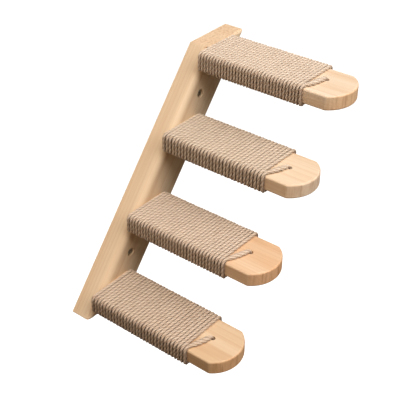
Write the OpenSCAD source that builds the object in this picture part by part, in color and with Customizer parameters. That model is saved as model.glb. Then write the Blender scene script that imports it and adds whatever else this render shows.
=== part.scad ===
// Cat wall shelf: four rope-bound treads on a board that leans up the wall.
// Millimetres and degrees. X runs to the right along the wall, Z is up, and the wall is the plane y = 0.
// The origin lies on the wall, midway between the two wall screws. The treads stand out towards -Y.

/* [Board] */
// Length of the board along its own slope
board_len = 400; // [396:1:480]
// Width of the board, square to its length
board_w = 61; // [56:1:80]
// Thickness of the board, from the wall to its front
board_t = 32; // [24:1:40]
// How far the board leans over to the right from upright
board_lean = 41; // [30:1:43]
// How far the middle of the board lies below the middle of the two wall screws
board_drop = 2; // [0:0.5:6]
// Rounding of the long front edge on the left
board_soft_r = 10; // [2:0.5:12]
// Rounding of the long front edge on the right
board_edge_r = 3.5; // [1:0.5:6]
// Easing of the two long edges at the wall
board_back_r = 1; // [0.5:0.5:3]
// Rounding of the four corners of the board's outline
board_corner_r = 1; // [0.5:0.5:8]

/* [Treads] */
// Height from one tread to the next
tread_pitch = 88; // [70:1:90]
// How far the middle of the four treads lies above the middle of the two wall screws
tread_lift = 7; // [0:0.5:8]
// How far the treads sit to the left of the board's middle line
tread_shift = 20; // [0:1:24]
// Width of a tread
tread_w = 70; // [60:1:80]
// Thickness of a tread
tread_t = 20; // [16:1:26]
// Length of a tread in front of the board
tread_reach = 215; // [205:1:260]
// How far the arch of the nose bulges at the middle
nose_bulge = 20; // [12:1:24]
// Rounding of a tread's edges
tread_edge_r = 2.5; // [1:0.5:4]

/* [Rope] */
// Thickness of the rope, square to the tread
rope_d = 5; // [4:0.5:6]
// Length of tread that the rope covers
wrap_len = 165; // [140:1:170]
// Open gap between neighbouring turns
rope_gap = 0.6; // [0.5:0.1:1.2]
// How far the last turn stands ahead of its neighbour on the right-hand side
loose_turn = 2.5; // [0:0.5:4]
// Distance from the end of the wrap to the middle of the tie hole
tie_ahead = 9; // [7:0.5:12]
// How far the tie hole sits to the right of the tread's middle line
tie_shift = 3; // [0:0.5:6]
// Room round the rope's end in the tie hole
tie_clear = 1; // [0.5:0.25:2]
// Depth of the tie hole
tie_depth = 12; // [9:0.5:14]

/* [Wall screws] */
// Height from the lower wall screw to the upper one
wall_screw_pitch = 178; // [160:1:190]
// Diameter of a wall screw over its thread
wall_screw_d = 4.5; // [4:0.5:6]
// Length of a wall screw that stands out behind the board
wall_grip = 18; // [12:1:40]
// Diameter of its pan head
pan_d = 10; // [8:0.5:10.5]
// Height of its pan head
pan_h = 3.5; // [2.5:0.25:4]
// Diameter of the pocket that the head sits in
pocket_d = 12; // [11:0.5:14]
// Depth of that pocket
pocket_depth = 4.5; // [4.5:0.5:8]
// How far the wall screws sit to the left of the board's middle line
wall_screw_shift = 7; // [0:0.5:9]

/* [Tread screws] */
// Diameter of a tread screw over its thread
tread_screw_d = 4; // [3.5:0.5:5]
// Length of a tread screw inside the tread
tread_grip = 29; // [20:1:45]
// Diameter of its countersunk head
sunk_d = 8; // [7:0.5:9]
// How far that head lies below the back of the board
sunk_below = 1; // [0.5:0.25:3]
// Distance between the two screws of one tread
tread_screw_gap = 30; // [24:1:32]
// How far their middle lies to the right of the tread's middle line
tread_screw_shift = 9; // [8:0.5:11]

/* [Hidden] */
$fn = 64;

// Fits: room round a screw in the board, room round a screw in a tread, and rope to wood
screw_room = 0.25;
thread_room = 0.1;
rope_seat = 0.2;
// How far a cut runs past the face that it opens, and a screw's neck into its thread
overrun = 1;

// The board is level at both ends, so its height follows from its length and lean
board_h = board_len * cos(board_lean);
tread_total = 4;

// Height of the middle of a tread, counted from the top one
function tread_z(i) = tread_lift + ((tread_total + 1) / 2 - i) * tread_pitch;
// Middle line of the board at a height, and of a tread
function board_x(z) = wall_screw_shift + z * tan(board_lean);
function tread_x(i) = board_x(tread_z(i)) - tread_shift;

// The nose is an arc over the tread's width
nose_r = (pow(tread_w / 2, 2) + pow(nose_bulge, 2)) / (2 * nose_bulge);
nose_y = nose_r - board_t - tread_reach;
// The nose disc is at its full thickness this far forward at the tread's sides
nose_flat = sqrt(pow(nose_r - tread_edge_r, 2) - pow(tread_w / 2, 2));

tie_hole_d = rope_d + 2 * tie_clear;
tie_from_board = wrap_len + tie_ahead;

// Cross recess in the screw heads, in shares of the head
cross_long_share = 0.55;
cross_wide_share = 0.14;
cross_deep_share = 0.22;
// Smooth neck of a screw and length of its point, in diameters of its thread
neck_share = 0.75;
point_share = 0.9;
// Straight rim of a pan head, in shares of its height
pan_rim_share = 0.35;

// A square corner is rounded by taking this off it
module corner(x, y, r) {
    translate([x > 0 ? x - r : x, y > 0 ? y - r : y])
        difference() {
            translate([x > 0 ? 0 : -overrun, y > 0 ? 0 : -overrun]) square(r + overrun);
            translate([x > 0 ? 0 : r, y > 0 ? 0 : r]) circle(r);
        }
}

// Section of the board, square to its length, drawn about the middle of its front face
module board_section() {
    translate([0, -board_t / 2])
        difference() {
            square([board_w, board_t], center = true);
            corner(-board_w / 2, -board_t / 2, board_soft_r);
            corner(board_w / 2, -board_t / 2, board_edge_r);
            corner(-board_w / 2, board_t / 2, board_back_r);
            corner(board_w / 2, board_t / 2, board_back_r);
        }
}

// Section of a tread, square to its length
module tread_section() {
    difference() {
        square([tread_w, tread_t], center = true);
        for (x = [-tread_w / 2, tread_w / 2], y = [-tread_t / 2, tread_t / 2])
            corner(x, y, tread_edge_r);
    }
}

// A pan-headed screw along +Z, with the underside of its head at z = 0 and its shank above
module pan_screw(d, neck, grip) {
    rim = pan_h * pan_rim_share;
    difference() {
        union() {
            translate([0, 0, -rim]) cylinder(d = pan_d, h = rim);
            translate([0, 0, -pan_h]) cylinder(d1 = pan_d - 2 * rim, d2 = pan_d, h = pan_h - rim);
            screw_shank(d, neck, grip);
        }
        translate([0, 0, -pan_h]) cross_recess(pan_d);
    }
}

// A countersunk screw along +Z, with the top of its head at z = 0
module sunk_screw(d, neck, grip) {
    difference() {
        union() {
            cylinder(d1 = sunk_d, d2 = d * neck_share, h = (sunk_d - d * neck_share) / 2);
            screw_shank(d, neck, grip);
        }
        cross_recess(sunk_d);
    }
}

// A smooth neck from z = 0, and after it the thread, with a point at its far end
module screw_shank(d, neck, grip) {
    point = d * point_share;
    cylinder(d = d * neck_share, h = neck + overrun);
    translate([0, 0, neck]) cylinder(d = d, h = grip - point);
    translate([0, 0, neck + grip - point]) cylinder(d1 = d, d2 = 0, h = point);
}

module cross_recess(head_d) {
    long = head_d * cross_long_share;
    wide = head_d * cross_wide_share;
    deep = head_d * cross_deep_share;
    for (turn = [0, 90])
        rotate(turn) translate([-long / 2, -wide / 2, -overrun]) cube([long, wide, deep + overrun]);
}

// Moves what follows to the line of one of a tread's two screws
module at_tread_screw(i, side) {
    translate([tread_x(i) + tread_screw_shift + side * tread_screw_gap / 2, 0, tread_z(i)])
        children();
}

module at_wall_screw(side) {
    z = side * wall_screw_pitch / 2;
    translate([z * tan(board_lean), 0, z]) children();
}

// Takes the tip off a corner of the board's outline, which lies at the 2D origin. Each side of the
// corner is given by the direction in which it leaves the corner and by its outward normal.
module corner_tip(way_a, out_a, way_b, out_b, angle) {
    run = board_corner_r / tan(angle / 2);
    middle = run * way_a - board_corner_r * out_a;
    difference() {
        polygon([run * way_a, run * way_a + overrun * out_a, overrun * (out_a - way_a + out_b - way_b),
            run * way_b + overrun * out_b, run * way_b, middle]);
        translate(middle) circle(board_corner_r);
    }
}

// The two tips at the upper end of the board, as seen from the front
module upper_tips() {
    down = [-sin(board_lean), -cos(board_lean)];
    across = [cos(board_lean), -sin(board_lean)];
    half_w = board_w / (2 * cos(board_lean));
    translate([board_h / 2 * tan(board_lean) + half_w, board_h / 2])
        corner_tip([-1, 0], [0, 1], down, across, 90 - board_lean);
    translate([board_h / 2 * tan(board_lean) - half_w, board_h / 2])
        corner_tip([1, 0], [0, 1], down, -across, 90 + board_lean);
}

// The leaning board, with the seats of all its screws
module back_board() {
    long = board_len + 2 * board_w;
    color("burlywood")
        difference() {
            intersection() {
                translate([wall_screw_shift, 0, 0]) rotate([0, board_lean, 0])
                    linear_extrude(height = long, center = true) board_section();
                translate([-long, -board_t - overrun, -board_drop - board_h / 2])
                    cube([2 * long, board_t + 2 * overrun, board_h]);
            }
            translate([board_x(-board_drop), overrun, -board_drop]) rotate([90, 0, 0])
                linear_extrude(height = board_t + 2 * overrun)
                    for (end = [0, 180]) rotate(end) upper_tips();
            for (side = [-1, 1])
                at_wall_screw(side) wall_screw_seat();
            for (i = [1:tread_total], side = [-1, 1])
                at_tread_screw(i, side) tread_screw_seat();
        }
}

// Pocket and clearance hole, from the front of the board to the wall
module wall_screw_seat() {
    translate([0, pocket_depth - board_t, 0]) rotate([90, 0, 0])
        cylinder(d = pocket_d, h = pocket_depth + overrun);
    translate([0, overrun, 0]) rotate([90, 0, 0])
        cylinder(d = wall_screw_d + 2 * screw_room, h = board_t + 2 * overrun);
}

// Countersink and clearance hole, from the wall to the front of the board
module tread_screw_seat() {
    head_h = (sunk_d - tread_screw_d) / 2;
    translate([0, -sunk_below, 0]) rotate([90, 0, 0])
        cylinder(d1 = sunk_d + 2 * screw_room, d2 = tread_screw_d + 2 * screw_room, h = head_h);
    translate([0, overrun, 0]) rotate([90, 0, 0])
        cylinder(d = sunk_d + 2 * screw_room, h = sunk_below + overrun);
    rotate([90, 0, 0])
        cylinder(d = tread_screw_d + 2 * screw_room, h = board_t + overrun);
}

// One tread: a bar with eased edges whose front end is cut to a disc with an eased rim
module tread(i) {
    color("wheat")
        translate([tread_x(i), 0, tread_z(i)])
            difference() {
                intersection() {
                    translate([0, -board_t, 0]) rotate([90, 0, 0])
                        linear_extrude(height = tread_reach) tread_section();
                    union() {
                        translate([-tread_w, nose_y - nose_flat, -tread_t])
                            cube([2 * tread_w, -board_t - nose_y + nose_flat, 2 * tread_t]);
                        translate([0, nose_y, 0]) nose_disc();
                    }
                }
                translate([tie_shift, -board_t - tie_from_board, tread_t / 2 - tie_depth])
                    cylinder(d = tie_hole_d, h = tie_depth + overrun);
                for (side = [-1, 1])
                    translate([tread_screw_shift + side * tread_screw_gap / 2, overrun - board_t, 0])
                        rotate([90, 0, 0])
                            cylinder(d = tread_screw_d + 2 * thread_room, h = tread_grip + 2 * overrun);
            }
}

// Disc of the nose's radius, as thick as a tread, with its rim eased above and below
module nose_disc() {
    rotate_extrude()
        difference() {
            translate([0, -tread_t / 2]) square([nose_r, tread_t]);
            corner(nose_r, tread_t / 2, tread_edge_r);
            corner(nose_r, -tread_t / 2, tread_edge_r);
        }
}

// The rope is one tube. Its route is told in three distances: u to the right from the middle of
// the tread, v up from the middle of the tread, and s forward from the front of the board.
// It starts under the tread at the board, winds round towards the nose, comes up on the left
// for the last time, crosses the top and goes down into the tie hole.
wrap_loops = 24;
rope_off = rope_seat + rope_d / 2;
wrap_a = tread_w / 2 + rope_off;
wrap_b = tread_t / 2 + rope_off;
// Each turn passes a corner of the tread in two bends, outside an arc about the corner's rounding
wrap_c = (tread_edge_r + rope_off) * (2 - sqrt(2));
bend_len = wrap_c * sqrt(2);
side_len = 2 * (wrap_b - wrap_c);
face_len = 2 * (wrap_a - wrap_c);
wrap_round = 2 * face_len + 2 * side_len + 4 * bend_len;
// The rope crosses the whole underside before the first corner that it reaches
start_run = face_len;
// Turns from the start to the place where the rope leaves the last turn
wrap_turns = wrap_loops + (start_run + 2 * bend_len + side_len) / wrap_round;
wrap_pitch = (wrap_len - rope_seat + rope_gap) / (1 + wrap_turns);
rope_w = wrap_pitch - rope_gap;
wrap_start = rope_seat + rope_w / 2;
wrap_end = wrap_start + wrap_turns * wrap_pitch;

// The eight bends of a turn, from the lower left corner upwards: place, and the bend's outward slope
bend_slope = tan(22.5);
turn_bends = [
    [[wrap_c - wrap_a, -wrap_b], [-bend_slope, -1]],
    [[-wrap_a, wrap_c - wrap_b], [-1, -bend_slope]],
    [[-wrap_a, wrap_b - wrap_c], [-1, bend_slope]],
    [[wrap_c - wrap_a, wrap_b], [-bend_slope, 1]],
    [[wrap_a - wrap_c, wrap_b], [bend_slope, 1]],
    [[wrap_a, wrap_b - wrap_c], [1, bend_slope]],
    [[wrap_a, wrap_c - wrap_b], [1, -bend_slope]],
    [[wrap_a - wrap_c, -wrap_b], [bend_slope, -1]]
];
// Length of rope from the first bend of a turn to each of its bends
bend_at = [0, bend_len, bend_len + side_len, 2 * bend_len + side_len,
    2 * bend_len + side_len + face_len, 3 * bend_len + side_len + face_len,
    3 * bend_len + 2 * side_len + face_len, 4 * bend_len + 2 * side_len + face_len];

// The last turn lies loose from its upper right corner to its lower right one
function loose(k) = k - 8 * wrap_loops < -4 || k >= 8 * wrap_loops ? 0 : loose_turn;

// A ring of the tube: its middle, its sideways axis, its outward axis and its width, each as [u, v, s]
function winding_ring(k) =
    let (turn = floor(k / 8), bend = turn_bends[k % 8],
        run = start_run + turn * wrap_round + bend_at[k % 8])
    [[bend[0][0], bend[0][1], wrap_start + wrap_pitch * run / wrap_round + loose(k)],
        [0, 0, 1], [bend[1][0], bend[1][1], 0], rope_w];

// The tail: a bend on top of the tread, a straight run to the tie hole and a bend down into it
tail_turn_share = 0.72;
dip_share = 0.25;
tail_from = [-wrap_a * tail_turn_share, wrap_end];
tail_way = [tie_shift, tie_from_board] - tail_from;
tail_dir = tail_way / norm(tail_way);
// The mitre of the first bend: it turns the rope from along u to along tail_dir
tail_mitre = ([1, 0] + tail_dir) / (1 + tail_dir[0]);
dip = rope_d * dip_share;
tail_end = tie_depth - rope_d / 2;
tail_side = [-tail_dir[1], 0, tail_dir[0]];
tail_rings = [
    [[tail_from[0], wrap_b, tail_from[1]], [-tail_mitre[1], 0, tail_mitre[0]], [0, 1, 0], rope_w],
    [[tie_shift - dip * tail_dir[0], wrap_b, tie_from_board - dip * tail_dir[1]], tail_side,
        [bend_slope * tail_dir[0], 1, bend_slope * tail_dir[1]], rope_d],
    [[tie_shift, wrap_b - dip, tie_from_board], tail_side, [tail_dir[0], bend_slope, tail_dir[1]], rope_d],
    [[tie_shift, tread_t / 2 - tail_end, tie_from_board], tail_side, [tail_dir[0], 0, tail_dir[1]], rope_d]
];

start_ring = [[wrap_c - wrap_a + start_run, -wrap_b, wrap_start], [0, 0, 1], [0, -1, 0], rope_w];
rope_rings = concat([start_ring], [for (k = [0:8 * wrap_loops + 3]) winding_ring(k)], tail_rings);
rope_sides = 6;

// Corners of a ring: six points with flats towards the tread and away from it
function ring_point(ring, j) =
    let (turn = 360 * j / rope_sides)
    ring[0] + ring[1] * cos(turn) * ring[3] / 2 + ring[2] * sin(turn) / sin(60) * rope_d / 2;

rope_points = [for (ring = rope_rings, j = [0:rope_sides - 1]) ring_point(ring, j)];

// Least gap of the rope to itself, taken on points a quarter of each straight apart,
// between the front edge of a turn and the back edge of the turns that follow it
function edge_point(k, j, part) =
    ring_point(rope_rings[k], j) * (1 - part) + ring_point(rope_rings[k + 1], j) * part;
least_gap = min([for (k = [0:len(rope_rings) - 10], next = [7:8],
    p = [0:0.25:1], q = [0:0.25:1])
        norm(edge_point(k, 0, p) - edge_point(k + next, 3, q))]);
echo(least_gap_of_the_rope_to_itself_mm = least_gap);

module rope_wrap(i) {
    last = len(rope_rings) - 1;
    places = [for (p = rope_points) [p[0], -board_t - p[2], p[1]]];
    walls = [for (k = [0:last - 1], j = [0:rope_sides - 1])
        let (a = k * rope_sides + j, b = k * rope_sides + (j + 1) % rope_sides)
        each [[a, b, b + rope_sides], [a, b + rope_sides, a + rope_sides]]];
    first_cap = [for (j = [1:rope_sides - 2]) [0, j + 1, j]];
    last_cap = [for (j = [1:rope_sides - 2])
        [last * rope_sides, last * rope_sides + j, last * rope_sides + j + 1]];
    color("tan")
        translate([tread_x(i), 0, tread_z(i)])
            polyhedron(points = places, faces = concat(walls, first_cap, last_cap));
}

module tread_screw(i, side) {
    color("silver")
        at_tread_screw(i, side) translate([0, -sunk_below, 0]) rotate([90, 0, 0])
            sunk_screw(tread_screw_d, board_t - sunk_below, tread_grip);
}

module wall_screw(side) {
    color("lightgray")
        at_wall_screw(side) translate([0, pocket_depth - board_t, 0]) rotate([-90, 0, 0])
            pan_screw(wall_screw_d, board_t - pocket_depth, wall_grip);
}

back_board();
tread(1);  // tread_1
tread(2);  // tread_2
tread(3);  // tread_3
tread(4);  // tread_4
rope_wrap(1);  // rope_wrap_1
rope_wrap(2);  // rope_wrap_2
rope_wrap(3);  // rope_wrap_3
rope_wrap(4);  // rope_wrap_4
tread_screw(1, -1);  // tread_screw_1_left
tread_screw(1, 1);  // tread_screw_1_right
tread_screw(2, -1);  // tread_screw_2_left
tread_screw(2, 1);  // tread_screw_2_right
tread_screw(3, -1);  // tread_screw_3_left
tread_screw(3, 1);  // tread_screw_3_right
tread_screw(4, -1);  // tread_screw_4_left
tread_screw(4, 1);  // tread_screw_4_right
wall_screw(1);  // wall_screw_upper
wall_screw(-1);  // wall_screw_lower
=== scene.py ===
import math

import bmesh
import bpy
import numpy as np
from mathutils import Euler, Matrix, Vector


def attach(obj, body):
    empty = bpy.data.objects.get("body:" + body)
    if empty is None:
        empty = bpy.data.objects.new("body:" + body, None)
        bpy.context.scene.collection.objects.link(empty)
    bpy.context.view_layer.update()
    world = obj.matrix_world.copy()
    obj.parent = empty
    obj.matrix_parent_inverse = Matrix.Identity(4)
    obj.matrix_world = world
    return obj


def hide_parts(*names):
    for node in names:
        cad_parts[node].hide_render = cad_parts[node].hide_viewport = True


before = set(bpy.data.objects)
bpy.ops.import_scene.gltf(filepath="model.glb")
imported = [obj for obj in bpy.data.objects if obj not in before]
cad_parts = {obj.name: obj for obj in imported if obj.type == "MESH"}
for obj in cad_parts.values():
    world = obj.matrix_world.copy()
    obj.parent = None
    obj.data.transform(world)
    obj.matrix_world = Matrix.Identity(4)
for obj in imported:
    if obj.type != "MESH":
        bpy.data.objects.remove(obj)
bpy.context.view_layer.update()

# ---- The studio ----
# The shelf hangs free above a plain white floor, as if its wall had been left out. One large soft
# light hangs in front of it and one above it on the left. Four faint ones fill in from all round.
# The camera stands to the left of the shelf and looks down at it through a longish lens.
MM = 0.001
camera_place = (-726.94 * MM, -668.88 * MM, 623.27 * MM)
camera_down, camera_right = 35.258, 52.21
camera_lens = 72.902
floor_drop, floor_wide = 1.6, 60.0


def linear(code):
    """An sRGB colour such as "f0d3ae" as Blender's linear red, green, blue and alpha."""
    parts = [int(code[i:i + 2], 16) / 255 for i in (0, 2, 4)]
    return [p / 12.92 if p <= 0.04045 else ((p + 0.055) / 1.055) ** 2.4 for p in parts] + [1.0]


def new_material(name):
    made = bpy.data.materials.new(name)
    made.use_nodes = True
    made.node_tree.nodes.clear()
    return made


def add(material, kind, values=None, links=None, **settings):
    """Adds a node with its settings, the values of its sockets and what is plugged into them."""
    made = material.node_tree.nodes.new(kind)
    for name, value in settings.items():
        setattr(made, name, value)
    for socket, value in (values or {}).items():
        made.inputs[socket].default_value = value
    for socket, source in (links or {}).items():
        material.node_tree.links.new(source, made.inputs[socket])
    return made


bpy.ops.object.select_all(action="DESELECT")
bpy.ops.object.camera_add(location=camera_place,
                          rotation=(math.radians(90 - camera_down), 0, -math.radians(camera_right)))
camera = bpy.context.object
camera.data.lens = camera_lens
camera.data.sensor_width = 36
bpy.context.scene.camera = camera
bpy.context.scene.view_settings.view_transform = "Standard"

bpy.ops.object.select_all(action="DESELECT")
bpy.ops.mesh.primitive_plane_add(size=floor_wide, location=(0, 0, -floor_drop))
floor = bpy.context.object
floor.name = "studio_floor"
# White vinyl, lit from within so that it stays white behind the shelf, and throws no light back up
floor_white = new_material("white_vinyl_floor")
vinyl = add(floor_white, "ShaderNodeBsdfPrincipled",
            {"Base Color": linear("ffffff"), "Roughness": 0.9, "Specular IOR Level": 0.1,
             "Emission Color": linear("ffffff"), "Emission Strength": 1.0})
add(floor_white, "ShaderNodeOutputMaterial", links={"Surface": vinyl.outputs[0]})
floor.data.materials.append(floor_white)
floor.visible_diffuse = False
floor.visible_glossy = False

# The room is white to look at, but gives the shelf hardly any light: that comes from the lamps
studio = bpy.data.worlds.new("studio")
bpy.context.scene.world = studio
studio.use_nodes = True
studio.node_tree.nodes.clear()
seen = add(studio, "ShaderNodeLightPath")
walls = add(studio, "ShaderNodeMix", {6: linear("3f2f1e"), 7: linear("ffffff")},
            {0: seen.outputs["Is Camera Ray"]}, data_type="RGBA")
white = add(studio, "ShaderNodeBackground", {"Strength": 1.0}, {"Color": walls.outputs[2]})
add(studio, "ShaderNodeOutputWorld", links={"Surface": white.outputs[0]})

# Each lamp: how far round to the right of the front it stands and how high, in degrees, how far off
# and how wide, in metres, its power in watts and its colour. All but the one straight above are a
# little warm, as light is in a wooden room.
shelf_middle = Vector((0, -0.1, 0))
for name, right, high, far, wide, power, tint in (
        ("front_lamp", 6, 45, 2.6, 2.0, 45, "fff6ec"), ("top_lamp", -52, 68, 2.6, 2.0, 34, "fff3e2"),
        ("sky_lamp", 0, 88, 2.6, 2.0, 13, "d4e6ff"), ("left_lamp", -92, 42, 1.6, 1.2, 5.4, "ffdab0"),
        ("back_lamp", -150, 40, 1.6, 1.2, 1.2, "ffe6cc"), ("right_lamp", 55, 26, 1.6, 1.2, 2.4, "fff8f0")):
    right, high = math.radians(right), math.radians(high)
    ray = Vector((math.sin(right) * math.cos(high), -math.cos(right) * math.cos(high), math.sin(high)))
    bpy.ops.object.select_all(action="DESELECT")
    bpy.ops.object.light_add(type="AREA", location=shelf_middle + ray * far,
                             rotation=(-ray).to_track_quat("-Z", "Y").to_euler())
    lamp = bpy.context.object
    lamp.name = name
    lamp.data.shape = "SQUARE"
    lamp.data.size = wide
    lamp.data.energy = power
    lamp.data.color = linear(tint)[:3]

# ---- The board ----
# One length of pale pine that leans up the wall. It was planed to size, its ends were sawn level and
# sanded, and its long front edge on the left was rounded over. It is oiled, not varnished.
# Two round pockets in its front take the wall screws, eight countersinks in its back the tread screws.
board_len, board_w, board_t = 400 * MM, 61 * MM, 32 * MM
board_lean = math.radians(41)
board_h = board_len * math.cos(board_lean)
board_soft, board_edge, board_end = 10 * MM, 3.5 * MM, 4 * MM
board_back, board_corner = 1 * MM, 1.2 * MM
board_out = board_w / 2 / math.cos(board_lean)
screw_shift, board_drop, wall_screw_rise = 7 * MM, 2 * MM, 89 * MM
tread_pitch, tread_total, tread_lift, tread_shift = 88 * MM, 4, 7 * MM, 20 * MM
pocket_wide, pocket_deep, pocket_hole = 12 * MM, 4.5 * MM, 5 * MM
sunk_wide, sunk_deep, sunk_hole = 8.5 * MM, 1 * MM, 4.5 * MM
tread_screw_gap, tread_screw_shift = 30 * MM, 9 * MM
rim_eased = 0.3 * MM
tread_heights = [tread_lift + ((tread_total - 1) / 2 - i) * tread_pitch for i in range(tread_total)]
tread_middles = [screw_shift + z * math.tan(board_lean) - tread_shift for z in tread_heights]


def start(primitive, stretch=(1, 1, 1), **words):
    """Adds a primitive with nothing else selected, at its size, and goes into edit mode."""
    if bpy.context.object and bpy.context.object.mode == "EDIT":
        bpy.ops.object.mode_set(mode="OBJECT")
    bpy.ops.object.select_all(action="DESELECT")
    primitive(**words)
    bpy.context.object.scale = stretch
    bpy.ops.object.transform_apply(location=True, rotation=True, scale=True)
    bpy.ops.object.mode_set(mode="EDIT")
    return bpy.context.object


def pick(piece, kind, wanted):
    """Selects the vertices, edges or faces of a piece in edit mode that are wanted."""
    bpy.ops.mesh.select_all(action="DESELECT")
    bpy.ops.mesh.select_mode(type=kind)
    net = bmesh.from_edit_mesh(piece.data)
    for item in {"VERT": net.verts, "EDGE": net.edges, "FACE": net.faces}[kind]:
        item.select_set(wanted(item))
    net.select_flush_mode()
    bmesh.update_edit_mesh(piece.data)


def middle(edge):
    return (edge.verts[0].co + edge.verts[1].co) / 2


def way(edge):
    return (edge.verts[1].co - edge.verts[0].co).normalized()


def apply_modifier(piece, kind, **settings):
    """Puts one modifier on a piece and applies it."""
    if bpy.context.object and bpy.context.object.mode == "EDIT":
        bpy.ops.object.mode_set(mode="OBJECT")
    bpy.ops.object.select_all(action="DESELECT")
    piece.select_set(True)
    bpy.context.view_layer.objects.active = piece
    modifier = piece.modifiers.new(kind.lower(), kind)
    for name, value in settings.items():
        setattr(modifier, name, value)
    bpy.ops.object.modifier_apply(modifier=modifier.name)


def cut(piece, cutter, operation="DIFFERENCE"):
    """Cuts one piece with another, or joins it to another, which is used up."""
    apply_modifier(piece, "BOOLEAN", object=cutter, operation=operation, solver="EXACT")
    bpy.data.objects.remove(cutter)


def turned(rings, place, axis, sides=48):
    """A turned shape: a disc drawn out ring by ring. A ring is a radius and a distance from the
    place along the axis."""
    made = start(bpy.ops.mesh.primitive_circle_add, vertices=sides, radius=rings[0][0],
                 fill_type="NGON", location=(0, 0, rings[0][1]))
    bpy.ops.mesh.select_all(action="SELECT")
    for (r0, z0), (r1, z1) in zip(rings, rings[1:]):
        bpy.ops.mesh.extrude_region_move(TRANSFORM_OT_translate={"value": (0, 0, z1 - z0)})
        bpy.ops.transform.resize(value=(r1 / r0, r1 / r0, 1), center_override=(0, 0, z1))
    bpy.ops.mesh.select_all(action="SELECT")
    bpy.ops.mesh.normals_make_consistent(inside=False)
    bpy.ops.object.mode_set(mode="OBJECT")
    stood = Vector(axis).to_track_quat("Z", "Y").to_matrix().to_4x4()
    made.data.transform(Matrix.Translation(place) @ stood)
    return made


def shade(piece, angle=30):
    """Smooth shading in which flat faces stay flat."""
    if bpy.context.object and bpy.context.object.mode == "EDIT":
        bpy.ops.object.mode_set(mode="OBJECT")
    bpy.ops.object.select_all(action="DESELECT")
    piece.select_set(True)
    bpy.context.view_layer.objects.active = piece
    bpy.ops.object.shade_smooth_by_angle(angle=math.radians(angle))
    apply_modifier(piece, "WEIGHTED_NORMAL", keep_sharp=True, weight=100)


def own_copy(piece, name, place=(0, 0, 0)):
    """A copy with a mesh of its own, moved within its mesh."""
    made = bpy.data.objects.new(name, piece.data.copy())
    bpy.context.scene.collection.objects.link(made)
    made.data.transform(Matrix.Translation(place))
    return made


# The bar's outline after the two level saw cuts, then every edge with its own rounding
board = start(bpy.ops.mesh.primitive_cube_add, size=1, stretch=(2 * board_out, board_t, board_h),
              location=(screw_shift - board_drop * math.tan(board_lean), -board_t / 2, -board_drop))
board.name = "pine_back_board"
for end in (-1, 1):
    pick(board, "VERT", lambda vert: vert.co.z * end > 0)
    bpy.ops.transform.translate(value=(end * board_h / 2 * math.tan(board_lean), 0, 0))
bpy.ops.object.mode_set(mode="OBJECT")
rounding = board.data.attributes.new("bevel_weight_edge", "FLOAT", "EDGE")
for edge in board.data.edges:
    a, b = (board.data.vertices[k].co for k in edge.vertices)
    right_side = (a + b).x / 2 > screw_shift + (a + b).z / 2 * math.tan(board_lean)
    if abs(a.y - b.y) > 0.5 * board_t:
        sharp = right_side == (a.z > 0)
        wide = board_corner / math.tan((math.pi / 2 + (-board_lean if sharp else board_lean)) / 2)
    elif a.y + b.y > -board_t:
        wide = board_back
    elif abs(a.z - b.z) < 0.5 * board_h:
        wide = board_end
    else:
        wide = board_edge if right_side else board_soft
    rounding.data[edge.index].value = wide / board_soft
apply_modifier(board, "BEVEL", width=board_soft, segments=10, limit_method="WEIGHT", profile=0.5,
               use_clamp_overlap=False)

for side in (-1, 1):
    place = (side * wall_screw_rise * math.tan(board_lean), -board_t + pocket_deep, side * wall_screw_rise)
    cut(board, turned([(pocket_hole / 2, -board_t), (pocket_hole / 2, 0), (pocket_wide / 2, 0),
                       (pocket_wide / 2, pocket_deep - rim_eased),
                       (pocket_wide / 2 + 2 * rim_eased, pocket_deep + rim_eased),
                       (pocket_wide / 2 + 2 * rim_eased, 2 * pocket_deep)], place, (0, -1, 0), 64))
for x, z in zip(tread_middles, tread_heights):
    for side in (-1, 1):
        cut(board, turned([(sunk_hole / 2, -2 * board_t),
                           (sunk_hole / 2, -sunk_deep - (sunk_wide - sunk_hole) / 2),
                           (sunk_wide / 2, -sunk_deep), (sunk_wide / 2, sunk_deep)],
                          (x + tread_screw_shift + side * tread_screw_gap / 2, 0, z), (0, 1, 0)))
shade(board)


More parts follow.
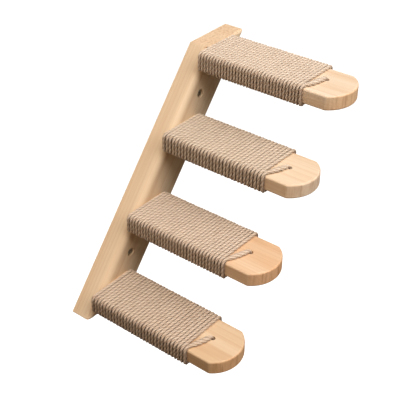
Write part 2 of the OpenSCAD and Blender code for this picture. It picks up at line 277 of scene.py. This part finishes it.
def oiled_pine(name, colours, grain, pith, seed, ring_mm):
    """Pine, planed, sanded and oiled: pale, with soft darker year rings about a line that runs with the
    grain outside the piece, so that faces show long streaks and ends show arcs, as in sawn wood.
    It gives the eye a warm pale ground, faint lines along the length and more golden end grain, which on the
    treads is also painted lighter, as painted light on their noses."""
    made = new_material(name)
    pale, warm, late, dark, ends = (linear(c) for c in colours)
    grain_way = Vector((0, 0, 1))
    grain_way.rotate(Euler(grain))
    spot = add(made, "ShaderNodeTexCoord")
    # The piece's space, turned so that Z runs with the grain and X and Y count from the pith
    sawn = add(made, "ShaderNodeMapping", {"Location": pith, "Rotation": grain},
               {"Vector": spot.outputs["Object"]}, vector_type="TEXTURE")
    slow = add(made, "ShaderNodeMapping", {"Scale": (1, 1, 0.06)}, {"Vector": sawn.outputs[0]})
    fine = add(made, "ShaderNodeMapping", {"Scale": (1, 1, 0.02)}, {"Vector": sawn.outputs[0]})
    # Year rings, pushed about by slow waves. The wave texture has a ring each 2 pi / 20 / scale metres
    sway = add(made, "ShaderNodeTexNoise", {"Scale": 16.0, "Detail": 2.0, "Roughness": 0.5, "W": seed},
               {"Vector": slow.outputs[0]}, noise_dimensions="4D")
    swung = add(made, "ShaderNodeVectorMath", {"Scale": 3.2 * ring_mm * MM},
                {"Vector": sway.outputs["Color"]}, operation="SCALE")
    bent = add(made, "ShaderNodeVectorMath", None, {0: slow.outputs[0], 1: swung.outputs[0]})
    rings = add(made, "ShaderNodeTexWave",
                {"Scale": 2 * math.pi / 20 / (ring_mm * MM), "Distortion": 0.5, "Detail": 2.0,
                 "Detail Scale": 1.5, "Detail Roughness": 0.6},
                {"Vector": bent.outputs[0]}, wave_type="RINGS", rings_direction="Z", wave_profile="SAW")
    # Each ring: pale early wood, then slowly darker, then a narrow dark line of late wood
    ringed = add(made, "ShaderNodeValToRGB", None, {"Fac": rings.outputs["Fac"]})
    ringed.color_ramp.elements[0].color = (0, 0, 0, 1)
    ringed.color_ramp.elements[1].color = (0, 0, 0, 1)
    for at, grey in ((0.45, 0.12), (0.82, 0.6), (0.92, 1.0), (0.97, 0.4)):
        ringed.color_ramp.elements.new(at).color = (grey, grey, grey, 1)
    # Fibres 0.7 mm wide, streaks 4 mm wide and clouds 25 mm wide, each drawn out along the grain
    hair = add(made, "ShaderNodeTexNoise", {"Scale": 1400.0, "Detail": 3.0, "Roughness": 0.6, "W": seed},
               {"Vector": fine.outputs[0]}, noise_dimensions="4D")
    streak = add(made, "ShaderNodeTexNoise", {"Scale": 250.0, "Detail": 2.0, "Roughness": 0.55,
                                              "W": seed + 3.0},
                 {"Vector": fine.outputs[0]}, noise_dimensions="4D")
    cloud = add(made, "ShaderNodeTexNoise", {"Scale": 40.0, "Detail": 1.5, "Roughness": 0.5,
                                             "W": seed + 7.0},
                {"Vector": slow.outputs[0]}, noise_dimensions="4D")
    colour = add(made, "ShaderNodeMix", {6: pale, 7: warm},
                 {0: add(made, "ShaderNodeMapRange", {"From Min": 0.32, "From Max": 0.68},
                         {"Value": cloud.outputs["Fac"]}).outputs[0]}, data_type="RGBA")
    for source, low, high, most, tone in ((ringed.outputs[0], 0.0, 1.0, 0.30, late),
                                          (streak.outputs["Fac"], 0.5, 0.8, 0.35, late),
                                          (hair.outputs["Fac"], 0.55, 0.9, 0.30, dark)):
        share = add(made, "ShaderNodeMapRange", {"From Min": low, "From Max": high, "To Max": most},
                    {"Value": source})
        colour = add(made, "ShaderNodeMix", {7: tone}, {0: share.outputs[0], 6: colour.outputs[2]},
                     data_type="RGBA")
    # Across the grain the open pores drink the oil, so the end grain is more golden. On the treads its
    # colour is also lighter than that: painted light on the noses' fronts
    facing = add(made, "ShaderNodeVectorMath", {1: grain_way}, {0: spot.outputs["Normal"]},
                 operation="DOT_PRODUCT")
    sized = add(made, "ShaderNodeMath", None, {0: facing.outputs["Value"]}, operation="ABSOLUTE")
    across_grain_share = add(made, "ShaderNodeMapRange", {"From Min": 0.3, "From Max": 0.9, "To Max": 0.6},
                  {"Value": sized.outputs[0]}, interpolation_type="SMOOTHSTEP")
    colour = add(made, "ShaderNodeMix", {7: ends}, {0: across_grain_share.outputs[0], 6: colour.outputs[2]},
                 data_type="RGBA")
    # There the saw has left upright marks, 2 to 6 mm wide, which sanding did not quite take away
    upright = add(made, "ShaderNodeMapping", {"Scale": (1, 1, 0.08)}, {"Vector": spot.outputs["Object"]})
    marks = add(made, "ShaderNodeTexNoise", {"Scale": 260.0, "Detail": 4.0, "Roughness": 0.7,
                                             "W": seed + 9.0},
                {"Vector": upright.outputs[0]}, noise_dimensions="4D")
    marked = add(made, "ShaderNodeMapRange", {"From Min": 0.46, "From Max": 0.68, "To Max": 1.0},
                 {"Value": marks.outputs["Fac"]})
    share = add(made, "ShaderNodeMath", None, {0: marked.outputs[0], 1: across_grain_share.outputs[0]},
                operation="MULTIPLY")
    colour = add(made, "ShaderNodeMix", {7: dark}, {0: share.outputs[0], 6: colour.outputs[2]},
                 data_type="RGBA")
    rough = add(made, "ShaderNodeMapRange", {"To Min": 0.5, "To Max": 0.68},
                {"Value": hair.outputs["Fac"]})
    relief = add(made, "ShaderNodeMath", None, {0: hair.outputs["Fac"], 1: ringed.outputs[0]})
    bump = add(made, "ShaderNodeBump", {"Strength": 0.35, "Distance": 0.08 * MM},
               {"Height": relief.outputs[0]})
    wood = add(made, "ShaderNodeBsdfPrincipled", {"IOR": 1.5, "Specular IOR Level": 0.35},
               {"Base Color": colour.outputs[2], "Roughness": rough.outputs[0],
                "Normal": bump.outputs[0]})
    add(made, "ShaderNodeOutputMaterial", links={"Surface": wood.outputs[0]})
    return made


board.data.materials.clear()
board.data.materials.append(oiled_pine(
    "oiled_pine_board", ("f6e5ca", "ecd2b2", "d6af88", "a8774a", "f4d7b6"), grain=(0, board_lean, 0),
    pith=(-38 * MM, 62 * MM, 0), seed=1.0, ring_mm=5.2))
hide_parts("back_board")
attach(board, "root")

# ---- The treads ----
# Four flat pine treads, 20 mm thick, each with a nose sawn to a shallow arc and all edges rounded.
# Each is screwed end-on to the board's front. A small hole in the top takes the end of its rope.
tread_w, tread_t, tread_reach = 70 * MM, 20 * MM, 215 * MM
nose_bulge, tread_edge, nose_corner = 20 * MM, 2.5 * MM, 1.2 * MM
nose_r = (tread_w ** 2 / 4 + nose_bulge ** 2) / (2 * nose_bulge)
nose_half = math.asin(tread_w / 2 / nose_r)
front, shoulder = -board_t - tread_reach, -board_t - tread_reach + nose_bulge
tie_wide, tie_deep = 7 * MM, 12 * MM
pilot_wide, pilot_deep = 4.2 * MM, 30 * MM
# Where each rope's end goes in: to the right of the middle, and in front of the board
tie_places = ((4.4 * MM, 172.8 * MM), (0.8 * MM, 176.0 * MM), (2.3 * MM, 173.4 * MM), (1.6 * MM, 173.5 * MM))

tread = start(bpy.ops.mesh.primitive_plane_add, size=1,
              location=(0, (shoulder - board_t) / 2, -tread_t / 2),
              stretch=(tread_w, -board_t - shoulder, 1))
pick(tread, "VERT", lambda vert: vert.co.x < 0 and vert.co.y < -2 * board_t)
bpy.ops.mesh.spin(steps=28, angle=-2 * nose_half, center=(0, front + nose_r, -tread_t / 2), axis=(0, 0, 1))
bpy.ops.mesh.select_all(action="SELECT")
bpy.ops.mesh.remove_doubles(threshold=0.01 * MM)
pick(tread, "VERT", lambda vert: vert.co.y < shoulder + 0.01 * MM)
bpy.ops.mesh.edge_face_add()
bpy.ops.mesh.select_all(action="SELECT")
bpy.ops.mesh.dissolve_limited(angle_limit=math.radians(1))
bpy.ops.mesh.select_all(action="SELECT")
bpy.ops.mesh.extrude_region_move(TRANSFORM_OT_translate={"value": (0, 0, tread_t)})
bpy.ops.mesh.select_all(action="SELECT")
bpy.ops.mesh.normals_make_consistent(inside=False)
pick(tread, "EDGE", lambda edge: abs(way(edge).z) > 0.99 and middle(edge).y < -2 * board_t
     and abs(middle(edge).x) > tread_w / 2 - 0.01 * MM)
bpy.ops.mesh.bevel(offset=nose_corner, segments=3, profile=0.5, affect="EDGES", clamp_overlap=False)
pick(tread, "EDGE", lambda edge: abs(way(edge).z) < 0.01 and middle(edge).y < -board_t - 1 * MM
     and abs(middle(edge).z) > tread_t / 2 - 0.01 * MM)
bpy.ops.mesh.bevel(offset=tread_edge, segments=6, profile=0.5, affect="EDGES", clamp_overlap=False)
bpy.ops.object.mode_set(mode="OBJECT")
for side in (-1, 1):
    cut(tread, turned([(0.02 * MM, -pilot_deep - 1.5 * MM), (pilot_wide / 2, -pilot_deep),
                       (pilot_wide / 2, board_t)],
                      (tread_screw_shift + side * tread_screw_gap / 2, -board_t, 0), (0, 1, 0), 32))

# For each tread: its wood's colours, how far off the pith was, the pattern's seed and ring spacing
# The last colour of each is the end grain's, set lighter as painted light on the nose
tread_looks = (
    (("f3e4cf", "e9cdae", "d9b08c", "ab7a50", "ffd2a2"), (16 * MM, 0, 78 * MM), 11.0, 4.6),
    (("f4e7d4", "edd5b8", "dab492", "ae7d52", "ffe8d0"), (-30 * MM, 0, -70 * MM), 23.0, 5.4),
    (("f1d7ba", "e4bd96", "cfa075", "a06c42", "fac494"), (44 * MM, 0, 52 * MM), 37.0, 4.2),
    (("ecd6b9", "ddbd98", "cb9f78", "a37147", "f0bc88"), (-18 * MM, 0, 90 * MM), 51.0, 5.0))
for i, (x, z, (tie_x, tie_y), (colours, pith, seed, ring_mm)) in enumerate(
        zip(tread_middles, tread_heights, tie_places, tread_looks), 1):
    piece = own_copy(tread, "pine_tread_%d" % i, (x, 0, z))
    cut(piece, turned([(0.02 * MM, -tie_deep - 1.5 * MM), (tie_wide / 2, -tie_deep),
                       (tie_wide / 2, -0.35 * MM), (tie_wide / 2 + 0.45 * MM, 0.1 * MM),
                       (tie_wide / 2 + 0.45 * MM, tie_deep)],
                      (x + tie_x, -board_t - tie_y, z + tread_t / 2), (0, 0, 1)))
    shade(piece, 25)
    piece.data.materials.clear()
    piece.data.materials.append(oiled_pine("oiled_pine_tread_%d" % i, colours,
                                           grain=(-math.pi / 2, 0, 0), seed=seed, ring_mm=ring_mm,
                                           pith=(x + pith[0], 0, z + pith[2])))
    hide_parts("tread_%d" % i)
    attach(piece, "root")
bpy.data.objects.remove(tread)

# ---- The ropes ----
# Jute rope, 5 mm thick, three strands laid to the right, one length to a tread. It is wound tight by
# hand from the board outwards, 30 to 33 turns, its start fixed under the tread. The last turn lies a
# little ahead of the others, and the end slants across the top and is glued into the tie hole.
rope_r, rope_lay = 2.5 * MM, 21.6 * MM
strand_r, strand_out, strands = 1.58 * MM, 0.92 * MM, 3
rope_off = rope_r + 0.08 * MM
rope_step, points_round = 1.62 * MM, 24
# Clear of the board at the start; what the cover holds beyond the full turns, in turns
start_gap, ends_turns = 0.1 * MM, 1.52
# The last turn: how far it drifts ahead, and over which shares of a turn it goes out and comes back
turns_apart, loose_turn, drifts_out, drifts_back = 0.2 * MM, 0.6 * MM, 0.36, 0.2
# The end: where it leaves the turns, its bend down into the hole, and how much wider it lies on the top
tail_leaves, dip_r, tail_back = 3 * MM, 2.6 * MM, 0.9 * MM
tail_flat, flat_from, flat_to = 0.75, 0.1, 0.85 * math.pi
# Wander sideways in metres, twist in radians a step, and swelling of the rope and of a strand as shares
wander, twist_wander, swells, strand_swells = 0.10 * MM, 0.022, 0.018, 0.02
# Turns, length of tread covered and seed for each tread
windings = ((33, 164.4 * MM, 5), (30, 165.2 * MM, 6), (32, 162.8 * MM, 7), (30, 163.6 * MM, 8))

# One turn as it goes: under the tread to the left, up, across the top to the right, and down
bend_r = tread_edge + rope_off
corner_x, corner_z = tread_w / 2 - tread_edge, tread_t / 2 - tread_edge
quarter = bend_r * math.pi / 2
turn_parts = np.cumsum([0] + [2 * corner_x, quarter, 2 * corner_z, quarter] * 2)
turn_corner_x = np.array([1, -1, -1, -1, -1, 1, 1, 1, 1]) * corner_x
turn_corner_z = np.array([-1, -1, -1, 1, 1, 1, 1, -1, -1]) * corner_z
turn_ways = np.radians([-90, -90, -180, -180, -270, -270, -360, -360, -450])
turn_round, top_left = turn_parts[8], turn_parts[4]


def drift(rng, lengths, every, size):
    """A slow random drift along the rope, with a new value each so many metres."""
    knots = np.arange(0, lengths[-1] + 2 * every, every)
    return np.interp(lengths, knots, rng.normal(0, size, len(knots)))


def rope_route(loops, cover, tie_x, tie_y):
    """The rope's middle line from the tread's middle: places (right, up, forward) and ways outward,
    the distance between turns and how many of the places are in the winding and in the crossing."""
    pitch = (cover - start_gap) / (loops + ends_turns)
    last = loops * turn_round + top_left + tail_leaves
    run = np.arange(0, last, rope_step)
    bearing = np.interp(run % turn_round, turn_parts, turn_ways)
    x = np.interp(run % turn_round, turn_parts, turn_corner_x) + bend_r * np.cos(bearing)
    z = np.interp(run % turn_round, turn_parts, turn_corner_z) + bend_r * np.sin(bearing)
    # The last turn drifts ahead as it crosses the top to the right, and comes back on the left
    since = (run - (last - tail_leaves - turn_round)) / turn_round
    rise = np.clip(since / drifts_out, 0, 1) * np.clip((1.0 - since) / drifts_back, 0, 1)
    y = start_gap + pitch / 2 + pitch * run / turn_round + loose_turn * rise * rise * (3 - 2 * rise)
    wound = np.stack([x, z, y], 1)
    out = np.stack([np.cos(bearing), np.sin(bearing), 0 * bearing], 1)
    # The tail: one slanting curve on top of the tread, and a bend down into the back of the hole
    top = tread_t / 2 + rope_off
    begin, hole = wound[-1, [0, 2]], np.array([tie_x, tie_y])
    slant = (hole - begin) / np.linalg.norm(hole - begin)
    hole = hole - slant * tail_back
    end = hole - slant * dip_r
    reach = np.linalg.norm(end - begin)
    t = np.arange(rope_step, reach, rope_step)[:, None] / reach
    leave, arrive = np.array([0.85, 0.5]) * reach * 0.8, slant * reach * 0.7
    flat = ((1 + 2 * t) * (1 - t) ** 2 * begin + t * (1 - t) ** 2 * leave
            + t * t * (3 - 2 * t) * end + t * t * (t - 1) * arrive)
    crossing = np.stack([flat[:, 0], 0 * t[:, 0] + top, flat[:, 1]], 1)
    turn = np.linspace(0, math.pi / 2, 5)
    gone, sunk = dip_r * np.sin(turn), dip_r * (1 - np.cos(turn))
    down = np.stack([end[0] + slant[0] * gone, top - sunk, end[1] + slant[1] * gone], 1)
    out_down = np.stack([slant[0] * np.sin(turn), np.cos(turn), slant[1] * np.sin(turn)], 1)
    deep = np.arange(top - dip_r - rope_step, tread_t / 2 - tie_deep + rope_r, -rope_step)
    inside = np.stack([0 * deep + hole[0], deep, 0 * deep + hole[1]], 1)
    return (np.concatenate([wound, crossing, down, inside]),
            np.concatenate([out, np.tile([0.0, 1.0, 0.0], (len(crossing), 1)), out_down,
                            np.tile([slant[0], 0, slant[1]], (len(inside), 1))]),
            pitch, len(wound), len(crossing))


def laid_rope(name, route, out, squeeze, seed, place):
    """A three-strand rope along a route: one closed skin whose edges follow the strands. It keeps
    where each point lies in the rope laid straight, in millimetres, how deep between strands, of
    which strand, and whether on a side of the tread."""
    rng = np.random.default_rng(seed)
    ahead = np.gradient(route, axis=0)
    ahead /= np.linalg.norm(ahead, axis=1)[:, None]
    run = np.concatenate([[0], np.cumsum(np.linalg.norm(np.diff(route, axis=0), axis=1))])
    out = out - ahead * (out * ahead).sum(1)[:, None]
    out /= np.linalg.norm(out, axis=1)[:, None]
    side = np.cross(ahead, out)
    route = route + side * drift(rng, run, 0.04, wander)[:, None]
    twist = math.tau * run / rope_lay + np.cumsum(drift(rng, run, 0.06, twist_wander))
    swell = 1 + drift(rng, run, 0.025, swells)
    strand_swell = 1 + np.stack([drift(rng, run, 0.03, strand_swells) for _ in range(strands)], 1)
    k = np.arange(points_round)
    of_strand = k // (points_round // strands)
    off = ((k % (points_round // strands)) * strands / points_round - 0.5) * math.tau / strands
    radius = strand_out * np.cos(off) + np.sqrt(strand_r ** 2 - (strand_out * np.sin(off)) ** 2)
    radius = radius * swell[:, None] * strand_swell[:, of_strand]
    angle = twist[:, None] + math.tau * k / points_round
    up, over = radius * np.cos(angle), radius * np.sin(angle)
    skin = (route[:, None] + out[:, None] * up[..., None]
            + side[:, None] * (over * squeeze[:, None])[..., None])
    # From right, up and forward to the row's axes, where forward is -Y
    points = np.stack([skin[..., 0], -board_t - skin[..., 2], skin[..., 1]], -1).reshape(-1, 3) + place
    rows = np.arange(len(route) - 1)[:, None] * points_round
    a, b = (rows + k).ravel(), (rows + (k + 1) % points_round).ravel()
    quads = np.stack([a, b, b + points_round, a + points_round], 1).tolist()
    ends = [list(k[::-1]), list(k + rows[-1] + points_round)]
    mesh = bpy.data.meshes.new(name)
    mesh.from_pydata(points.tolist(), [], quads + [[int(p) for p in end] for end in ends])
    mesh.polygons.foreach_set("use_smooth", [True] * len(quads) + [False] * 2)
    whole = np.broadcast_to(run[:, None], radius.shape)
    in_rope = np.stack([up, over, whole], -1) / MM
    mesh.attributes.new("in_rope", "FLOAT_VECTOR", "POINT").data.foreach_set(
        "vector", in_rope.astype(np.float32).ravel())
    words = {"between": 1 - np.cos(1.5 * off), "strand": rng.uniform(0, 1, strands)[of_strand],
             "on_side": np.abs(out[:, :1])}
    for word, values in words.items():
        mesh.attributes.new(word, "FLOAT", "POINT").data.foreach_set(
            "value", np.broadcast_to(values, radius.shape).astype(np.float32).ravel())
    made = bpy.data.objects.new(name, mesh)
    bpy.context.scene.collection.objects.link(made)
    return made


def natural_jute(name, colours, seed):
    """Natural jute, spun, laid and not bleached. It gives the eye a dry straw-coloured thread, with
    long fibres in mixed blonde and brown, painted shade as darker lines where the strands meet, and the
    darkest painted shade where a turn lies against the next. A real fibre is about 0.05 mm thick, and is
    drawn 0.3 mm wide here, so that it shows."""
    made = new_material(name)
    crown, middle, groove, gap = (linear(c) for c in colours)
    where = add(made, "ShaderNodeAttribute", attribute_name="in_rope")
    between = add(made, "ShaderNodeAttribute", attribute_name="between")
    strand = add(made, "ShaderNodeAttribute", attribute_name="strand")
    length_ways = add(made, "ShaderNodeMapping", {"Scale": (1, 1, 0.10)},
                      {"Vector": where.outputs["Vector"]})
    patches = add(made, "ShaderNodeMapping", {"Scale": (0.12, 0.12, 0.045)},
                  {"Vector": where.outputs["Vector"]})
    fibre = add(made, "ShaderNodeTexNoise", {"Scale": 3.2, "Detail": 3.0, "Roughness": 0.65, "W": seed},
                {"Vector": length_ways.outputs[0]}, noise_dimensions="4D")
    mottle = add(made, "ShaderNodeTexNoise", {"Scale": 1.0, "Detail": 3.0, "Roughness": 0.6,
                                              "W": seed + 5.0},
                 {"Vector": patches.outputs[0]}, noise_dimensions="4D")
    share = add(made, "ShaderNodeMapRange", {"From Min": 0.40, "From Max": 0.64},
                {"Value": fibre.outputs["Fac"]})
    colour = add(made, "ShaderNodeMix", {6: middle, 7: crown}, {0: share.outputs[0]}, data_type="RGBA")
    spread = add(made, "ShaderNodeSeparateXYZ", None, {0: where.outputs["Vector"]})
    beside = add(made, "ShaderNodeMath", None, {0: spread.outputs[1]}, operation="ABSOLUTE")
    # Random darker patches and a random tone for each strand, then painted shade towards the groove colour
    # where the strands meet
    for source, low, high, most, tone in ((mottle.outputs["Fac"], 0.5, 0.75, 0.25, groove),
                                          (strand.outputs["Fac"], 0.0, 1.0, 0.22, middle),
                                          (between.outputs["Fac"], 0.3, 1.0, 0.7, groove)):
        share = add(made, "ShaderNodeMapRange", {"From Min": low, "From Max": high, "To Max": most},
                    {"Value": source})
        colour = add(made, "ShaderNodeMix", {7: tone}, {0: share.outputs[0], 6: colour.outputs[2]},
                     data_type="RGBA")
    # Down a side of the tread the rope is painted browner, as painted shade, and the painted shade between
    # turns is made stronger there
    on_side = add(made, "ShaderNodeAttribute", attribute_name="on_side")
    side_gap_shade = add(made, "ShaderNodeMapRange", {"To Min": 0.36, "To Max": 0.97},
                  {"Value": on_side.outputs["Fac"]})
    side_shade_share = add(made, "ShaderNodeMapRange", {"To Max": 0.2}, {"Value": on_side.outputs["Fac"]})
    colour = add(made, "ShaderNodeMix", {7: groove}, {0: side_shade_share.outputs[0], 6: colour.outputs[2]},
                 data_type="RGBA")
    # Painted shade: the rope darkens towards the gap colour where a turn lies against the next
    share = add(made, "ShaderNodeMapRange", {"From Min": 1.45, "From Max": 2.35},
                {"Value": beside.outputs[0], "To Max": side_gap_shade.outputs[0]})
    colour = add(made, "ShaderNodeMix", {7: gap}, {0: share.outputs[0], 6: colour.outputs[2]},
                 data_type="RGBA")
    bump = add(made, "ShaderNodeBump", {"Strength": 0.7, "Distance": 0.25 * MM},
               {"Height": fibre.outputs["Fac"]})
    jute = add(made, "ShaderNodeBsdfPrincipled",
               {"Roughness": 0.85, "Specular IOR Level": 0.2, "Sheen Weight": 0.25,
                "Sheen Roughness": 0.5},
               {"Base Color": colour.outputs[2], "Normal": bump.outputs[0]})
    add(made, "ShaderNodeOutputMaterial", links={"Surface": jute.outputs[0]})
    return made


# Each rope's colours: light and mid fibre, the groove colour, which also carries painted shade, and the gap
# colour, which is painted shade between turns
rope_colours = (("f4ebe0", "decebc", "906844", "6a4222"), ("f1e6d9", "dac8b4", "866242", "4f2c13"),
                ("f2e5d8", "dac6b2", "865f3e", "4f2c13"), ("eee1d3", "d6c1ac", "825b3b", "482812"))
for i, (x, z, (tie_x, tie_y), (loops, cover, seed), colours) in enumerate(
        zip(tread_middles, tread_heights, tie_places, windings, rope_colours), 1):
    route, out, pitch, wound, crossing = rope_route(loops, cover, tie_x, tie_y)
    squeeze = np.ones(len(route))
    squeeze[:wound] = (pitch - turns_apart) / (2 * rope_r)
    squeeze[wound:wound + crossing] += tail_flat * np.sin(np.linspace(flat_from, flat_to, crossing))
    rope = laid_rope("jute_rope_%d" % i, route, out, squeeze, seed, (x, 0, z))
    rope.data.materials.append(natural_jute("natural_jute_%d" % i, colours, float(seed)))
    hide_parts("rope_wrap_%d" % i)
    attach(rope, "root")

# ---- The screws ----
# Bought wood screws of zinc-plated steel with a rolled thread and a cross recess. Two pan heads sit in
# the board's pockets and go on into the wall. Eight countersunk ones come from behind, two to a tread.
# Their sizes are over the thread; the smooth neck has three quarters of that.
wall_screw_r, wall_screw_lead, wall_screw_out = 2.25 * MM, 2.2 * MM, 18 * MM
tread_screw_r, tread_screw_lead, tread_grip = 2 * MM, 1.8 * MM, 29 * MM
head_low, screw_steps, point_share, neck_share = -board_t + pocket_deep, 28, 1.8, 0.75


def threaded(name, rings, crest, lead, tip, neck_end, recess, axis):
    """A screw with the underside or top of its head at the origin and its shank down the axis: turned
    blank, cross recess pressed into the head at the height given, and a thread as one helical ridge."""
    core = crest * neck_share
    point = [(0.04 * MM, tip), (0.35 * core, tip + 0.9 * crest), (core, tip + 2 * point_share * crest)]
    screw = turned(point + rings, (0, 0, 0), (0, 0, 1), 48)
    head_r, head_top, deep = recess
    for turn in (0, 90):
        slot = start(bpy.ops.mesh.primitive_cube_add, size=1, location=(0, 0, head_top),
                     stretch=(1.1 * head_r, 0.28 * head_r, 2 * deep))
        pick(slot, "VERT", lambda vert: vert.co.z < head_top)
        bpy.ops.transform.resize(value=(0.45, 0.7, 1), center_override=(0, 0, head_top))
        bpy.ops.object.mode_set(mode="OBJECT")
        slot.data.transform(Matrix.Rotation(math.radians(turn + 20), 4, "Z"))
        cut(screw, slot)
    count = int((neck_end - tip) / lead * screw_steps)
    k = np.arange(count + 1)
    z = tip + 0.3 * crest + (neck_end - tip - 0.3 * crest) * k / count
    thin = np.clip((z - tip) / (2 * point_share * crest), 0.12, 1)
    high = (crest - core) * thin * np.clip((count - k) / screw_steps, 0.05, 1)
    low_r, round_at = core * thin * 0.96, math.tau * k / screw_steps
    rings_at = [(low_r, z - 0.28 * lead), (low_r + high, z), (low_r, z + 0.28 * lead)]
    points = np.stack([np.stack([r * np.cos(round_at), r * np.sin(round_at), h], -1)
                       for r, h in rings_at], 1)
    mesh = bpy.data.meshes.new(name)
    sides = [(3 * i + j, 3 * i + 3 + j, 3 * i + 3 + (j + 1) % 3, 3 * i + (j + 1) % 3)
             for i in range(count) for j in range(3)]
    ends = [(0, 1, 2), (3 * count + 2, 3 * count + 1, 3 * count)]
    mesh.from_pydata(points.reshape(-1, 3).tolist(), [], sides + ends)
    ridge = bpy.data.objects.new(name, mesh)
    bpy.context.scene.collection.objects.link(ridge)
    bpy.ops.object.select_all(action="DESELECT")
    ridge.select_set(True)
    screw.select_set(True)
    bpy.context.view_layer.objects.active = screw
    bpy.ops.object.join()
    bpy.ops.object.mode_set(mode="EDIT")
    bpy.ops.mesh.select_all(action="SELECT")
    bpy.ops.mesh.normals_make_consistent(inside=False)
    shade(screw, 35)
    screw.data.transform(Vector(axis).to_track_quat("Z", "Y").to_matrix().to_4x4())
    screw.name = name
    return screw


def zinc_plate(name, bright, dull, rough, seed):
    """Steel with a thin zinc plating. It gives the eye a grey metal with a soft glint, a little clouded,
    as plating is. The clouds are 2 mm wide."""
    made = new_material(name)
    spot = add(made, "ShaderNodeTexCoord")
    cloud = add(made, "ShaderNodeTexNoise", {"Scale": 500.0, "Detail": 3.0, "Roughness": 0.6, "W": seed},
                {"Vector": spot.outputs["Object"]}, noise_dimensions="4D")
    share = add(made, "ShaderNodeMapRange", {"From Min": 0.35, "From Max": 0.65},
                {"Value": cloud.outputs["Fac"]})
    colour = add(made, "ShaderNodeMix", {6: linear(dull), 7: linear(bright)}, {0: share.outputs[0]},
                 data_type="RGBA")
    gloss = add(made, "ShaderNodeMapRange", {"To Min": rough + 0.12, "To Max": rough},
                {"Value": cloud.outputs["Fac"]})
    zinc = add(made, "ShaderNodeBsdfPrincipled", {"Metallic": 1.0},
               {"Base Color": colour.outputs[2], "Roughness": gloss.outputs[0]})
    add(made, "ShaderNodeOutputMaterial", links={"Surface": zinc.outputs[0]})
    return made


# The wall screw: neck, flat underside, straight rim and domed top of the head
pan = threaded("wall_screw", [(neck_share * wall_screw_r, 0), (4.7 * MM, 0), (5 * MM, 0.3 * MM),
                              (5 * MM, 1.2 * MM), (4.85 * MM, 1.9 * MM), (4.4 * MM, 2.6 * MM),
                              (3.6 * MM, 3.1 * MM), (2.5 * MM, 3.4 * MM), (1.2 * MM, 3.5 * MM)],
               wall_screw_r, wall_screw_lead, head_low - wall_screw_out, head_low,
               (5 * MM, 3.5 * MM, 2.0 * MM), (0, -1, 0))
pan_zinc = zinc_plate("zinc_plate_wall_screw", "c4bfae", "9a9484", 0.42, 3.0)
for name, side in (("upper", 1), ("lower", -1)):
    z = side * wall_screw_rise
    piece = own_copy(pan, "wall_screw_" + name + "_visual", (z * math.tan(board_lean), head_low, z))
    piece.data.materials.clear()
    piece.data.materials.append(pan_zinc)
    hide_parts("wall_screw_" + name)
    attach(piece, "root")
bpy.data.objects.remove(pan)

# The tread screw: neck, cone and flat top of the head
countersunk = threaded("tread_screw", [(neck_share * tread_screw_r, -2.5 * MM), (3.85 * MM, -0.15 * MM),
                                       (4 * MM, -0.05 * MM), (3.9 * MM, 0)],
                       tread_screw_r, tread_screw_lead, sunk_deep - board_t - tread_grip,
                       sunk_deep - board_t, (4 * MM, 0, 1.6 * MM), (0, 1, 0))
sunk_zinc = zinc_plate("zinc_plate_tread_screw", "c9c7be", "a9a69a", 0.28, 9.0)
for i, (x, z) in enumerate(zip(tread_middles, tread_heights), 1):
    for side, name in ((-1, "left"), (1, "right")):
        piece = own_copy(countersunk, "tread_screw_%d_%s_visual" % (i, name),
                         (x + tread_screw_shift + side * tread_screw_gap / 2, -sunk_deep, z))
        piece.data.materials.clear()
        piece.data.materials.append(sunk_zinc)
        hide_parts("tread_screw_%d_%s" % (i, name))
        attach(piece, "root")
bpy.data.objects.remove(countersunk)
